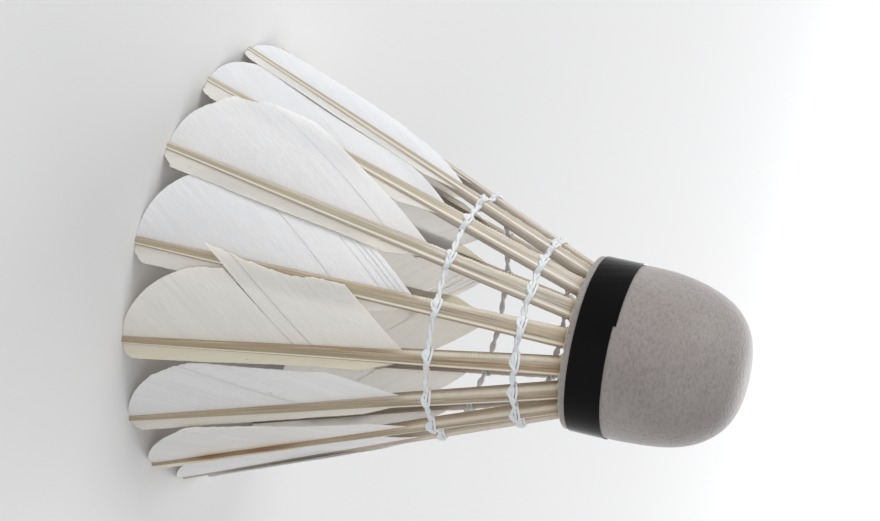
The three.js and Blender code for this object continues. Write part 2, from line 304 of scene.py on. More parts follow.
def vane_material():
    """Feather barbs. The attribute barb holds the length along the barb, the count of barbs along the quill
    and the feather's own number; tint holds warmth, stain and the painted shade beside the quill."""
    shade = Shader("feather_vane")
    barb = shade.attribute("barb")
    count = shade.parts(barb)[1]
    warmth, stain, root = shade.parts(shade.attribute("tint"))
    fine = shade.noise(shade.stretch(barb, (0.12, 2.2, 3.1)), 1.0, 3.0, 0.6)
    coarse = shade.noise(shade.stretch(barb, (0.05, 0.16, 1.7)), 1.0, 2.0)
    cloud = shade.noise(shade.stretch(barb, (0.16, 0.07, 5.3)), 1.0, 2.0)
    white = shade.mix(warmth, (0.93, 0.94, 0.965, 1), (0.92, 0.81, 0.62, 1))
    lines = shade.ramp(fine, (0.28, (0.88, 0.88, 0.89)), (0.5, (1, 1, 1)))
    colour = shade.mix(0.75, white, lines, "MULTIPLY")
    patches = shade.ramp(coarse, (0.3, (0.93, 0.93, 0.935)), (0.62, (1, 1, 1)))
    colour = shade.mix(0.7, colour, patches, "MULTIPLY")
    soiled = shade.ramp(cloud, (0.5, (0, 0, 0)), (0.75, (1, 1, 1)))
    colour = shade.wash(colour, soiled, 0.35, (0.86, 0.82, 0.76))
    specks = shade.node("TexVoronoi", Vector=shade.stretch(barb, (0.30, 0.135, 9.7)), Scale=1.0)
    near = shade.math("LESS_THAN", specks.outputs["Distance"], 0.045)
    chance = shade.node("SeparateColor", Color=specks.outputs["Color"]).outputs[0]
    rare = shade.math("GREATER_THAN", chance, 0.62)
    colour = shade.wash(colour, shade.math("MULTIPLY", near, rare), 0.6, (0.2, 0.17, 0.15))
    colour = shade.mix(stain, colour, (0.55, 0.36, 0.19, 1), "MULTIPLY")
    # Painted shade: the barbs darkened, a little warm, next to the quill.
    colour = shade.wash(colour, root, 0.5, (0.74, 0.69, 0.58), "MULTIPLY")
    shade.set(Base_Color=colour, Roughness=0.58, Sheen_Weight=0.15, Sheen_Roughness=0.4)
    shade.set(Subsurface_Weight=0.8, Subsurface_Scale=0.0007, Specular_IOR_Level=0.3)
    shade.surface.inputs["Subsurface Radius"].default_value = (1.0, 0.95, 0.85)
    wave = shade.math("ABSOLUTE", shade.math("SINE", shade.math("MULTIPLY", count, math.pi)))
    height = shade.math("ADD", shade.math("MULTIPLY", wave, 0.5), fine)
    shade.bump(height, 0.32, 0.00005)
    return shade.material


def quill_material():
    """Horn of the quill. The attribute horn holds the length along the quill, the place round its section in
    turns and the feather's own number; band holds the olive streak along the back, darker partly from the
    horn's own tone and partly from painted shade, the light edge and the stripped flank; tone holds how tan
    the horn is, the painted shade where the quill meets the cork's end face, and the stain."""
    shade = Shader("feather_quill")
    horn = shade.attribute("horn")
    shaded_stripe, edge, flank = shade.parts(shade.attribute("band"))
    tan, cork_face_shade, stain = shade.parts(shade.attribute("tone"))
    fibre = shade.noise(shade.stretch(horn, (0.10, 46.0, 2.3)), 1.0, 4.0, 0.6)
    slow = shade.noise(shade.stretch(horn, (0.09, 3.0, 5.1)), 1.0, 3.0)
    pits = shade.noise(shade.stretch(horn, (1.4, 30.0, 7.7)), 1.0, 2.0, 0.7)
    pale = ((0.33, 0.295, 0.25), (0.53, 0.49, 0.435), (0.68, 0.65, 0.60))
    brown = ((0.20, 0.13, 0.07), (0.34, 0.25, 0.15), (0.51, 0.40, 0.27))
    pale, brown = (shade.ramp(fibre, *zip((0.36, 0.5, 0.62), tones)) for tones in (pale, brown))
    colour = shade.mix(tan, pale, brown)
    clouded = shade.ramp(slow, (0.35, (0, 0, 0)), (0.7, (0.45, 0.45, 0.45)))
    colour = shade.mix(clouded, colour, (0.52, 0.42, 0.29, 1))
    # Painted shade, partly the horn's own darker tone: the olive streak along the back of the shaft where the
    # vanes are.
    colour = shade.wash(colour, shaded_stripe, 0.7, (0.36, 0.32, 0.21))
    colour = shade.wash(colour, flank, 0.8, (0.74, 0.70, 0.60))
    colour = shade.mix(edge, colour, (0.93, 0.88, 0.77, 1))
    # Painted shade: the quill darkened, brownish, where it meets the cork's end face.
    colour = shade.wash(colour, cork_face_shade, 0.6, (0.62, 0.50, 0.36), "MULTIPLY")
    colour = shade.wash(colour, stain, 0.8, (0.50, 0.27, 0.12), "MULTIPLY")
    pitted = shade.ramp(pits, (0.22, (1, 1, 1)), (0.3, (0, 0, 0)))
    colour = shade.wash(colour, pitted, 0.6, (0.30, 0.22, 0.13))
    shade.set(Base_Color=colour, Roughness=0.42, Specular_IOR_Level=0.45)
    shade.set(Subsurface_Weight=0.25, Subsurface_Scale=0.001)
    shade.bump(shade.math("ADD", fibre, shade.math("MULTIPLY", pits, 0.4)), 0.55, 0.00008)
    return shade.material


def leather_material():
    """Matt pebbled leather: fine cells and softer wrinkles, with faint grey clouds and soiled specks."""
    shade = Shader("cork_cover_leather")
    place = shade.place()
    pebbles = shade.node("TexVoronoi", {"feature": "SMOOTH_F1"}, Vector=place, Scale=1900.0, Smoothness=0.6)
    creases = shade.noise(shade.stretch(place, (1, 1, 2.2)), 1300.0, 4.0, 0.65)
    broad = shade.noise(place, 260.0, 4.0)
    cloud = shade.noise(place, 90.0, 3.0)
    colour = shade.ramp(cloud, (0.32, (0.285, 0.252, 0.240)), (0.7, (0.345, 0.312, 0.300)))
    grain = shade.ramp(creases, (0.32, (0.72, 0.71, 0.70)), (0.55, (1, 1, 1)))
    colour = shade.mix(0.8, colour, grain, "MULTIPLY")
    specks = shade.ramp(shade.noise(place, 700.0, 2.0), (0.68, (0, 0, 0)), (0.76, (1, 1, 1)))
    colour = shade.wash(colour, specks, 0.3, (0.30, 0.26, 0.24))
    shade.set(Base_Color=colour, Roughness=0.82, Specular_IOR_Level=0.3)
    shade.set(Sheen_Weight=0.6, Sheen_Roughness=0.5)
    height = shade.math("ADD", pebbles.outputs["Distance"], creases)
    height = shade.math("ADD", height, shade.math("MULTIPLY", broad, 0.8))
    shade.bump(height, 0.6, 0.00014)
    return shade.material


def tape_material():
    """Glossy black tape with faint stretch marks."""
    shade = Shader("cork_tape_gloss")
    place = shade.place()
    marks = shade.noise(shade.stretch(place, (1, 1, 0.25)), 420.0, 3.0)
    smudge = shade.noise(place, 160.0, 3.0)
    colour = shade.ramp(smudge, (0.3, (0.0012, 0.0012, 0.0016)), (0.8, (0.003, 0.003, 0.004)))
    rough = shade.node("MapRange", Value=smudge)
    rough.inputs["To Min"].default_value = 0.05
    rough.inputs["To Max"].default_value = 0.12
    shade.set(Base_Color=colour, Roughness=rough.outputs[0], Specular_IOR_Level=0.1)
    shade.bump(marks, 0.12, 0.00005)
    return shade.material


def thread_material():
    """White cotton: fibres that wind along the strand, and painted shade, a faint grey, in the hollows between
    them.
    """
    shade = Shader("skirt_thread")
    fibres = shade.noise(shade.stretch(shade.attribute("strand"), (5.0, 9.0, 3.3)), 1.0, 3.0, 0.7)
    soft = shade.noise(shade.place(), 900.0, 2.0)
    # Painted shade: faint grey where the fibre noise is low, in the hollows of the bump.
    colour = shade.ramp(fibres, (0.25, (0.78, 0.79, 0.81)), (0.6, (0.95, 0.955, 0.97)))
    colour = shade.mix(0.5, colour, shade.ramp(soft, (0.3, (0.8, 0.8, 0.82)), (0.6, (1, 1, 1))), "MULTIPLY")
    shade.set(Base_Color=colour, Roughness=0.8, Sheen_Weight=0.3)
    shade.set(Subsurface_Weight=0.2, Subsurface_Scale=0.0006)
    shade.bump(fibres, 0.7, 0.0001)
    return shade.material


def cork_material():
    """Cork: pale brown grains, darker joints between them and a few pores."""
    shade = Shader("cork_grain")
    place = shade.place()
    grains = shade.node("TexVoronoi", Vector=place, Scale=620.0)
    tone = shade.node("SeparateColor", Color=grains.outputs["Color"]).outputs[0]
    colour = shade.ramp(tone, (0.0, (0.50, 0.33, 0.18)), (0.5, (0.64, 0.45, 0.27)), (1.0, (0.74, 0.56, 0.36)))
    joints = shade.node("TexVoronoi", {"feature": "DISTANCE_TO_EDGE"}, Vector=place, Scale=620.0)
    rim = shade.ramp(joints.outputs["Distance"], (0.0, (0.35, 0.2, 0.1)), (0.08, (1, 1, 1)))
    colour = shade.mix(0.7, colour, rim, "MULTIPLY")
    shade.set(Base_Color=colour, Roughness=0.9)
    shade.bump(shade.noise(place, 1500.0, 3.0), 0.6, 0.0002)
    return shade.material


def glue_material():
    """Dried glue: clear yellow, glossy and a little lumpy."""
    shade = Shader("root_glue_dried")
    place = shade.place()
    cloud = shade.noise(place, 500.0, 3.0)
    colour = shade.ramp(cloud, (0.3, (0.60, 0.52, 0.36)), (0.7, (0.78, 0.72, 0.56)))
    shade.set(Base_Color=colour, Roughness=0.22, Coat_Weight=0.3)
    shade.set(Subsurface_Weight=0.4, Subsurface_Scale=0.001)
    shade.bump(cloud, 0.5, 0.0002)
    return shade.material


# ---------------- quills

FACE_HALF = (1.5, 0.95)  # half width and half height of a quill at the cork's end face
TIP_HALF = (0.6, 0.45)
ROOT_HALF = (0.85, 0.75)
QUILL_DEPTH = TOP_HEIGHT - FACE_HEIGHT
BARE_QUILL = FACE_HEIGHT - VANE_TOP  # drop from the cork's end face to the first barbs
STUB_PITCH = 0.46  # spacing of the stumps of the stripped barbs
STUB_HEIGHT = 0.17


def quill_half(drop):
    """Half width and half height at a drop: straight from the cork to the tip, and narrower in the cork."""
    drop = np.asarray(drop, float)
    out = np.clip(drop / FACE_HEIGHT, 0, 1)
    inside = np.clip(-drop / QUILL_DEPTH, 0, 1)
    sizes = []
    for face, tip, root in zip(FACE_HALF, TIP_HALF, ROOT_HALF):
        sizes.append(np.where(drop < 0, face + (root - face) * inside, face + (tip - face) * out))
    return sizes


def feather_axes(index):
    """Root point at the cork's end face, and the directions along, around and out of the skirt."""
    angle = ANGLES[index % FEATHERS]
    along = TIPS[index % FEATHERS] - TOPS[index % FEATHERS]
    along = along / np.linalg.norm(along)
    root = TIPS[index % FEATHERS] - along * (FACE_HEIGHT / -along[2])
    around = np.array([-math.sin(angle), math.cos(angle), 0.0])
    return root, along, around, np.cross(along, around)


def rounded_box(turn, power):
    """Across and up on a rounded box of half size 1: the turn's cosine and sine, each raised to a power
    below 1 with its sign kept."""
    across, up = np.cos(turn), np.sin(turn)
    return np.sign(across) * np.abs(across) ** power, np.sign(up) * np.abs(up) ** power


# How brown each quill's horn is, from 0, pale grey, to 1, tan.
HORN_TONE = [0.1, 0.15, 0.2, 0.7, 1.0, 0.75, 0.9, 0.4, 0.3, 0.5, 0.2, 0.6, 0.4, 0.3, 0.5, 0.2]
STAINED_FEATHER = 6  # brown beside its quill, in two patches
QUILL_SIDES = 40
FLANK_ANGLE = math.radians(140)  # round the section, to the flank that lost its barbs


def quill_piece(index, material):
    """A quill: a rounded box section, carried straight from the cork to the tip. Its back is ridged along
    the light edge, its belly is grooved where the vanes are, and the flank that lost its barbs has their
    stumps."""
    root, along, around, out = feather_axes(index)
    vane_steps = np.linspace(BARE_QUILL, FACE_HEIGHT, 56)
    bare_steps = np.arange(0, BARE_QUILL, STUB_PITCH / 4)
    drops = np.concatenate([np.linspace(-QUILL_DEPTH, -0.3, 6), bare_steps, vane_steps])
    turn = np.linspace(0, 2 * math.pi, QUILL_SIDES, endpoint=False)
    drop, theta = np.meshgrid(drops, turn, indexing="ij")
    wide, high = quill_half(drop)
    x, y = rounded_box(theta, 0.72)
    bare = 1 / (1 + np.exp((drop - BARE_QUILL) / 0.8))
    outside = (drop > 0) * 1.0
    groove = (1 - bare) * (y < 0) * bell(x, 0, 0.4) * 0.45
    crease = (y > 0) * (bell(x, 0.52, 0.09) * 0.10 - bell(x, 0.74, 0.08) * 0.03 + bell(x, -0.42, 0.07) * 0.06)
    fibre = smooth_noise(theta * 9 + index * 31 + drop * 0.05, 11 + index) * 0.014
    flank = bell(theta, FLANK_ANGLE, math.radians(16)) * outside * bare
    stump = np.abs(np.sin(math.pi * drop / STUB_PITCH + index))
    stump = stump * (0.55 + 0.45 * smooth_noise(drop, 71 + index, 0.9))
    sway = 0.10 * smooth_noise(drop + 9.0 * index, 5, 14.0) * outside * (1 - drop / FACE_HEIGHT)
    across = (x + fibre * x) * wide + (x < 0) * -STUB_HEIGHT * flank * stump + sway
    height = (y * (1 - groove * 0.5) - crease + fibre) * high + STUB_HEIGHT * flank * stump
    height = height + groove * high * 0.35
    base = root + along * (drop / -along[2])[..., None]
    points = base + around * across[..., None] + out * height[..., None]
    slide = (FACE_HEIGHT - drop - points[..., 2]) / along[2]
    points = points + along * slide[..., None]
    rows = len(drops)
    faces = grid_faces(rows, QUILL_SIDES, wrap_columns=True).tolist()
    faces.append(tuple(range(QUILL_SIDES - 1, -1, -1)))
    faces.append(tuple(range((rows - 1) * QUILL_SIDES, rows * QUILL_SIDES)))
    # Where the olive streak lies, darkened partly as the horn's tone and partly as painted shade on the shaft.
    shaded_stripe = (y > 0) * np.clip(bell(x, 0.05, 0.42) * 1.2, 0, 1) * (1 - bare)
    edge = (y > 0) * bell(x, 0.66, 0.12)
    flank_band = np.clip(bell(theta, FLANK_ANGLE, math.radians(26)) * bare * 1.3, 0, 1)
    horn = np.stack([drop, theta / (2 * math.pi), np.full_like(drop, index)], -1).reshape(-1, 3)
    band = np.stack([shaded_stripe, edge, flank_band], -1).reshape(-1, 3)
    # Painted shade by the cork's end face, strongest where the quill enters the cork.
    cork_face_shade = np.exp(-np.abs(drop) / 1.6)
    stain = bell(drop, 41, 5) + bell(drop, 49, 3) if index == STAINED_FEATHER else 0 * drop
    tone = np.stack([0 * drop + HORN_TONE[index], cork_face_shade, stain], -1).reshape(-1, 3)
    name = feather_name(index) + "_shaft"
    attributes = [("horn", horn), ("band", band), ("tone", tone)]
    piece = make_piece(name, points.reshape(-1, 3), faces, material, attributes, 60)
    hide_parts(feather_name(index) + "_quill")
    return piece


# ---------------- vanes

BARB_PITCH = 0.46
VANE_LENGTH = FACE_HEIGHT - BARE_QUILL
BARBS = int(VANE_LENGTH / BARB_PITCH)
SAMPLES_A_BARB = 4
VANE_HALF_THICKNESS = 0.07
VANE_ROOT_LIFT = 0.12
NEIGHBOUR_CLEARANCE = 0.35
BARB_ROOT = 0.8  # where the barbs leave the quill, in its half widths
BARB_RIDGE = 0.014
STANDING_MARGIN = 0.02  # kept between the barbs and the level that the quills stand on

# A vane's width, how far a barb runs down the skirt for each millimetre across it, the length of its round
# tip, and how much the outer edge draws in towards the root. Some wide vanes differ from the common one.
NARROW_VANE = {"width": 2.3, "slope": 3.2, "round_length": 1.7, "draw": 0.25}
COMMON_VANE = {"width": 12.5, "slope": 1.25, "round_length": 10.0, "draw": 0.12}
OWN_VANE = {
    0: {"slope": 1.35},
    1: {"slope": 1.45, "width": 12.8},
    2: {"slope": 1.62, "width": 13.1, "round_length": 11.0},
    3: {"slope": 1.22, "width": 12.8},
    4: {"slope": 0.98, "width": 10.3, "draw": 0.15},
    5: {"slope": 1.90, "width": 8.5, "round_length": 8.0, "draw": 0.5},
    6: {"slope": 1.35, "width": 9.1, "round_length": 8.0, "draw": 0.6},
}
TORN_FEATHER = 4  # its vane is torn, and the barbs above the tear stand over the next quill as a pointed flap
TEAR_BARB = 30
FLAP_BARBS = 17
FLAP_REACH = 0.34
COMBED_FEATHERS = (1, 3, 9, 12)  # their first barbs stand apart, as a worn comb
COMBED_BARBS = (2, 4, 6, 9)

# How warm each feather's white is, from 0, cool, to 1, cream.
WARMTH = [0.0, 0.05, 0.2, 0.12, 0.62, 0.25, 0.38, 0.2, 0.1, 0.35, 0.2, 0.45, 0.3, 0.1, 0.35, 0.15]


def vane_shape(index, rng):
    """A wide vane's own sizes: the common ones with a little chance, or those set for it."""
    shape = dict(COMMON_VANE)
    for size, spread in (("width", 0.4), ("slope", 0.15), ("round_length", 0.8)):
        shape[size] += rng.uniform(-spread, spread)
    shape.update(OWN_VANE.get(index, {}))
    return shape


def barb_start(count):
    """Drop at which a barb leaves its quill: the barbs are spaced evenly along it."""
    return BARE_QUILL + VANE_LENGTH * count / BARBS


def barb_ridge(count, rise):
    """Height of the ridge along each barb, which comes up from nothing beside the quill."""
    return BARB_RIDGE * np.abs(np.sin(math.pi * count)) * np.clip(rise, 0, 1)


def vane_lift(index, drop, distance, camber):
    """How far a wide vane stands off the skirt: it starts on its own quill and ends over the next quill, or
    under it on every other feather, with a soft crown between."""
    share = distance / (skirt_radius(ANGLES[index], drop) * STEP)
    clear = quill_half(drop)[1] + NEIGHBOUR_CLEARANCE
    sign = 1 if index % 2 == 0 else -1
    crown = camber * np.sin(math.pi * np.clip(share, 0, 1))
    return VANE_ROOT_LIFT * (1 - share) + sign * clear * share ** 1.2 + crown


def skirt_points(index, turn, drop, distance, lift):
    """Points beside a quill: a distance around the skirt from the quill's middle, at a drop, off its
    surface."""
    angle = ANGLES[index] + turn * distance / skirt_radius(ANGLES[index], drop)
    return around_axis(skirt_radius(angle, drop) + lift, angle, FACE_HEIGHT - drop)


def outline_width(drop, width, round_length, draw):
    """Width of a vane at a drop: drawn in a little towards the root, and a quarter of an ellipse at the
    tip."""
    round_start = FACE_HEIGHT - round_length
    taper = 1 - draw * np.clip((round_start - drop) / 22, 0, 1)
    into = np.clip((drop - round_start) / round_length, 0, 1)
    return width * taper * np.sqrt(1 - into ** 2)


def barb_reach(starts, width, slope, round_length, draw):
    """How far across each barb goes before it meets the vane's outline, by halving the span it lies in."""
    low = np.zeros_like(starts)
    high = np.full_like(starts, width)
    for _ in range(26):
        middle = (low + high) / 2
        inside = middle < outline_width(starts + slope * middle, width, round_length, draw)
        low = np.where(inside, middle, low)
        high = np.where(inside, high, middle)
    return low


def worn_reach(index, shape, count, last):
    """How far across each barb of a wide vane goes, with its wear: an uneven edge that is quieter near the
    tip, first barbs worn short like a comb's, and barbs that grow longer towards a tear."""
    starts = barb_start(count)
    quiet = np.clip((FACE_HEIGHT - 14 - starts) / 8, 0.12, 1)
    uneven = 0.012 * smooth_noise(count, 900 + index, 0.8) + 0.03 * smooth_noise(count, 950 + index, 7.0)
    reach = barb_reach(starts, **shape) * (1 + quiet * uneven)
    if index in COMBED_FEATHERS:
        worn = np.clip(1 - count / 10, 0, 1) * np.abs(smooth_noise(np.floor(count), 970 + index, 1.0))
        reach = reach * (1 - 0.35 * worn)
    if index == TORN_FEATHER and last <= TEAR_BARB:
        reach = reach * (1 + FLAP_REACH * np.clip(1 - (TEAR_BARB - count) / FLAP_BARBS, 0, 1))
    return np.maximum(reach, 0.12)


def split_barbs(rng, index):
    """Counts of barbs at which the vane is split, each with the width of its gap at the edge."""
    splits = [(int(place), rng.uniform(0.03, 0.10)) for place in rng.uniform(12, BARBS - 30, 1)]
    if index in COMBED_FEATHERS:
        splits += [(place, rng.uniform(0.1, 0.3)) for place in COMBED_BARBS]
    if index == TORN_FEATHER:
        splits.append((TEAR_BARB, 0.12))
    return sorted(dict(splits).items())


def vane_sheet(index, turn, drop, distance, lift, start):
    """The two faces of a vane, half its thickness to either side of its middle surface, closed round the
    edge."""
    outer = skirt_points(index, turn, drop, distance, lift + VANE_HALF_THICKNESS)
    inner = skirt_points(index, turn, drop, distance, lift - VANE_HALF_THICKNESS)
    return thin_sheet(outer, inner, start)


def barb_marks(along, count, own, warmth, stain, beside):
    """The barb and tint attributes for both faces of one sheet."""
    barb = np.stack(np.broadcast_arrays(along, count, own), -1).reshape(-1, 3)
    tint = np.stack(np.broadcast_arrays(warmth, stain, beside), -1).reshape(-1, 3)
    return np.tile(barb, (2, 1)), np.tile(tint, (2, 1))


def wide_vane_piece(index, material):
    """The wide vane: barbs side by side, each a slanted line from the quill to the outline, ridged across,
    with a split here and there where the barbs lean apart towards the edge."""
    rng = np.random.default_rng(400 + index)
    shape = vane_shape(index, rng)
    camber = rng.uniform(0.25, 0.6)
    wave_seed = int(rng.integers(1000))
    splits = split_barbs(rng, index)
    bounds = [0] + [place for place, gap in splits] + [BARBS]
    gaps = [0.0] + [gap for place, gap in splits] + [0.0]
    across = np.linspace(0, 1, 15)
    sheets = []
    total = 0
    for part, (first, last) in enumerate(zip(bounds[:-1], bounds[1:])):
        count = np.linspace(first, last, (last - first) * SAMPLES_A_BARB + 1)[:, None]
        reach = worn_reach(index, shape, count, last)
        starts = barb_start(count)
        along = reach * across
        distance = quill_half(starts)[0] * BARB_ROOT + along
        lean = np.exp(-(count - first) / 4.0) * gaps[part] - np.exp(-(last - count) / 4.0) * gaps[part + 1]
        lean = lean * across ** 2 * np.clip(reach / 4, 0, 1)
        drop = starts + shape["slope"] * along * (0.9 + 0.1 * across) + lean
        drop = np.minimum(drop, FACE_HEIGHT - STANDING_MARGIN)
        loose = 0.03 * smooth_noise(count, 200 + index, 1.0) * across ** 3
        flutter = 0.35 * smooth_noise(drop + 3 * across, wave_seed, 11.0) * across * (1 - 0.55 * across)
        lift = vane_lift(index, drop, distance, camber) + barb_ridge(count, across * 6) + loose + flutter
        stain = 0.0
        if index == STAINED_FEATHER:
            stain = 0.9 * (bell(drop, 40, 7) + 0.8 * bell(drop, 49, 3.5)) * np.exp(-along / 1.8)
        # The last tint number is painted shade beside the quill, fading within about a millimetre of it.
        marks = barb_marks(along, count, index, WARMTH[index], stain, np.exp(-along / 0.9))
        sheets.append((*vane_sheet(index, -1, drop, distance, lift, total), *marks))
        total += len(sheets[-1][0])
    vertices, faces, barb, tint = (np.concatenate(data) for data in zip(*sheets))
    name = feather_name(index) + "_wide_barbs"
    piece = make_piece(name, vertices, faces.tolist(), material, [("barb", barb), ("tint", tint)], 50)
    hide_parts(feather_name(index) + "_wide_vane")
    return piece


def narrow_vane_piece(index, material):
    """The narrow vane: short barbs that lie almost along the quill, out to an outline with a short round
    end."""
    rng = np.random.default_rng(700 + index)
    shape = dict(NARROW_VANE)
    shape["width"] += rng.uniform(-0.2, 0.3)
    count = np.linspace(0, BARBS, BARBS * SAMPLES_A_BARB + 1)[:, None]
    across = np.linspace(0, 1, 8)
    starts = barb_start(count)
    uneven = 0.02 * smooth_noise(count, 300 + index, 0.9) + 0.04 * smooth_noise(count, 320 + index, 8.0)
    along = np.maximum(barb_reach(starts, **shape) * (1 + uneven), 0.1) * across
    distance = quill_half(starts)[0] * BARB_ROOT + along
    drop = np.minimum(starts + shape["slope"] * along, FACE_HEIGHT - STANDING_MARGIN)
    sway = 0.05 * smooth_noise(drop, 340 + index, 6.0) * across
    lift = VANE_ROOT_LIFT + barb_ridge(count, across * 5) - 0.10 * across ** 2 + sway
    vertices, faces = vane_sheet(index, 1, drop, distance, lift, 0)
    stain = 0.0
    if index == STAINED_FEATHER:
        stain = 0.8 * (bell(drop, 41, 6) + bell(drop, 49, 3)) * (1 - 0.7 * across)
    warmth = min(1.0, WARMTH[index] + 0.4)
    # The last tint number is painted shade beside the quill, fading across the narrow vane.
    barb, tint = barb_marks(along * 2.5, count, index + 0.5, warmth, stain, np.exp(-along / 2.2))
    name = feather_name(index) + "_narrow_barbs"
    piece = make_piece(name, vertices, faces.tolist(), material, [("barb", barb), ("tint", tint)], 50)
    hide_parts(feather_name(index) + "_narrow_vane")
    return piece


# ---------------- thread rows

STRAND_RADIUS = 0.25
STRAND_STEP = 0.16  # between the points of a strand's path
TWIST_LENGTH = 3.8  # of one whole turn of the two strands round each other
WRAP_RADIUS = 0.19
WRAP_CLEARANCE = 0.17  # from the quill's section to the middle of the thread round it
KNOT_RADIUS = 0.21
CUT_END_RADIUS = 0.13
HAIR_RADIUS = 0.018
WRAP_SHIFTS = (-0.24, 0.2)  # places along a quill of the two turns of thread round it
ROW_MARGIN = 0.12  # between a quill's side and the thread that leaves it
ROW_SINK = 0.05  # of the thread below the quills' middles, where it crosses a gap
ROW_SLANT = 0.715
KNOT_LOOPS = (0.55, 0.48, 0.4)
LOOSE_HAIRS = 150
UPWARD = np.array([0, 0, 1.0])
LEVEL = np.array([1.0, 1.0, 0])


def at_quill(index, radius, around, height):
    """Points beside a quill: out from the axis to a radius in the quill's direction, then straight around."""
    angle = ANGLES[index]
    x = radius * math.cos(angle) - around * math.sin(angle)
    y = radius * math.sin(angle) + around * math.cos(angle)
    return np.stack(np.broadcast_arrays(x, y, height), -1)


def row_route(drop):
    """The middle line of a thread row, all the way round: a flat-topped arch over the back of each quill, a
    little slanted, then straight across to the next quill with a slight sag."""
    wide, high = quill_half(drop)
    edge = wide + ROW_MARGIN
    level = FACE_HEIGHT - drop
    turns = np.linspace(-1, 1, 15)
    arch = np.sqrt(1 - np.abs(turns) ** 3) * (high + 0.2) - ROW_SINK
    slant = ROW_SLANT * turns * (1 - turns ** 2)
    share = np.linspace(0, 1, 10)[1:-1, None]
    sag = -0.12 * UPWARD * np.sin(math.pi * share)
    route = []
    for index in range(FEATHERS):
        following = (index + 1) % FEATHERS
        over = at_quill(index, skirt_radius(ANGLES[index], drop) + arch, edge * turns, level + slant)
        end = at_quill(following, skirt_radius(ANGLES[following], drop) - ROW_SINK, -edge, level)
        route += [over, over[-1] * (1 - share) + end * share + sag]
    return np.concatenate(route)


def even_steps(path, spacing):
    """The closed path again, with points an even distance apart, their lengths along it, and its whole
    length."""
    closed = np.vstack([path, path[:1]])
    lengths = np.concatenate([[0], np.cumsum(np.linalg.norm(np.diff(closed, axis=0), axis=1))])
    wanted = np.linspace(0, lengths[-1], int(lengths[-1] / spacing), endpoint=False)
    even = np.stack([np.interp(wanted, lengths, closed[:, axis]) for axis in range(3)], -1)
    return even, wanted, lengths[-1]


def wrap_loop(index, drop, shift, seed):
    """One turn of thread all round a quill, a little slanted: a rounded box ring that clears its section."""
    root, along, around, out = feather_axes(index)
    wide, high = quill_half(drop)
    turn = np.linspace(0, 2 * math.pi, 44, endpoint=False)
    x, y = rounded_box(turn, 0.8)
    x, y = x * (wide + WRAP_CLEARANCE), y * (high + WRAP_CLEARANCE)
    rng = np.random.default_rng(seed)
    slant = rng.uniform(0.08, 0.2)
    middle = root + along * ((drop + shift) / -along[2])
    ripple = 0.05 * np.sin(turn * 2 + rng.uniform(0, 6))
    return middle + around * x[:, None] + out * y[:, None] + along * (slant * x + ripple)[:, None]


class Strands:
    """Tubes gathered into one mesh, with the strand attribute for each: the length along it, the turn round
    it and its own number."""

    def __init__(self):
        self.vertices, self.faces, self.data, self.total = [], [], [], 0

    def add(self, path, radii, sides, closed, own):
        points, faces = tube(path, radii, sides, closed, self.total)
        length = np.repeat(np.linspace(0, 0.2 * len(path), len(path)), sides)
        turn = np.tile(np.linspace(0, 1, sides, endpoint=False), len(path))
        self.vertices.append(points)
        self.faces += faces
        self.data.append(np.stack([length, turn, np.full(len(points), float(own))], -1))
        self.total += len(points)

    def piece(self, name, material):
        data = [("strand", np.concatenate(self.data))]
        return make_piece(name, np.concatenate(self.vertices), self.faces, material, data, 70)


def add_twist(strands, path, along, total, seed):
    """Two strands wound round each other along the path: flat spirals half a turn apart, both a little
    uneven."""
    ahead = tube_frames(path, True)[0]
    outward = path * LEVEL / np.hypot(path[:, 0], path[:, 1])[:, None]
    wander = 0.05 * np.stack([smooth_noise(along, seed + axis, 3.0) for axis in range(3)], -1)
    twists = round(total / TWIST_LENGTH)
    for start in (0.0, math.pi):
        phase = 2 * math.pi * twists * along / total + start
        flat = (0.22 + 0.04 * np.sin(2 * math.pi * along / 3.7)) * np.cos(phase)
        deep = 0.08 + 0.12 * np.sin(phase)
        middle = path + np.cross(ahead, outward) * flat[:, None] + outward * deep[:, None] + wander
        radii = STRAND_RADIUS * (1 + 0.12 * smooth_noise(along, seed + 7 + int(start), 0.5))
        strands.add(middle, radii, 8, True, start)


def add_knot(strands, middle):
    """A knot: three oval loops, each tilted on from the last, and two cut ends that curl away to either
    side."""
    outward = middle * LEVEL / np.hypot(middle[0], middle[1])
    across = np.cross(outward, UPWARD)
    turn = np.linspace(0, 2 * math.pi, 70, endpoint=False)[:, None]
    for loop, size in enumerate(KNOT_LOOPS):
        tilt = 1.1 * loop
        first = 1.3 * (across * math.cos(tilt) + UPWARD * math.sin(tilt))
        second = outward * 0.8 + across * 0.3
        ring = middle + outward * (0.25 + 0.12 * np.sin(2 * turn + loop))
        ring = ring + size * (first * np.cos(turn) + second * np.sin(turn))
        strands.add(ring, KNOT_RADIUS, 8, True, 40 + loop)
    reach = np.linspace(0, 1, 14)[:, None]
    curl = 0.3 * UPWARD * np.sin(reach * 4)
    for end in range(2):
        heading = outward * 0.5 + across * (1 - 2 * end) + UPWARD * (0.3 - 0.9 * end)
        path = middle + outward * 0.3 + heading * reach * 1.1 + curl
        strands.add(path, CUT_END_RADIUS, 7, False, 50 + end)


def add_hairs(strands, path, rng):
    """Fine hairs of cotton that stand off the row at random places, each on a gentle bend."""
    reach = np.linspace(0, 1, 7)[:, None]
    for hair in range(LOOSE_HAIRS):
        root = path[int(rng.integers(len(path)))]
        direction = rng.normal(size=3)
        bend = rng.normal(size=3) * 0.25
        straight = direction / np.linalg.norm(direction) * rng.uniform(0.4, 0.75)
        strands.add(root + straight * reach + bend * reach ** 2, HAIR_RADIUS, 4, False, 60 + hair)


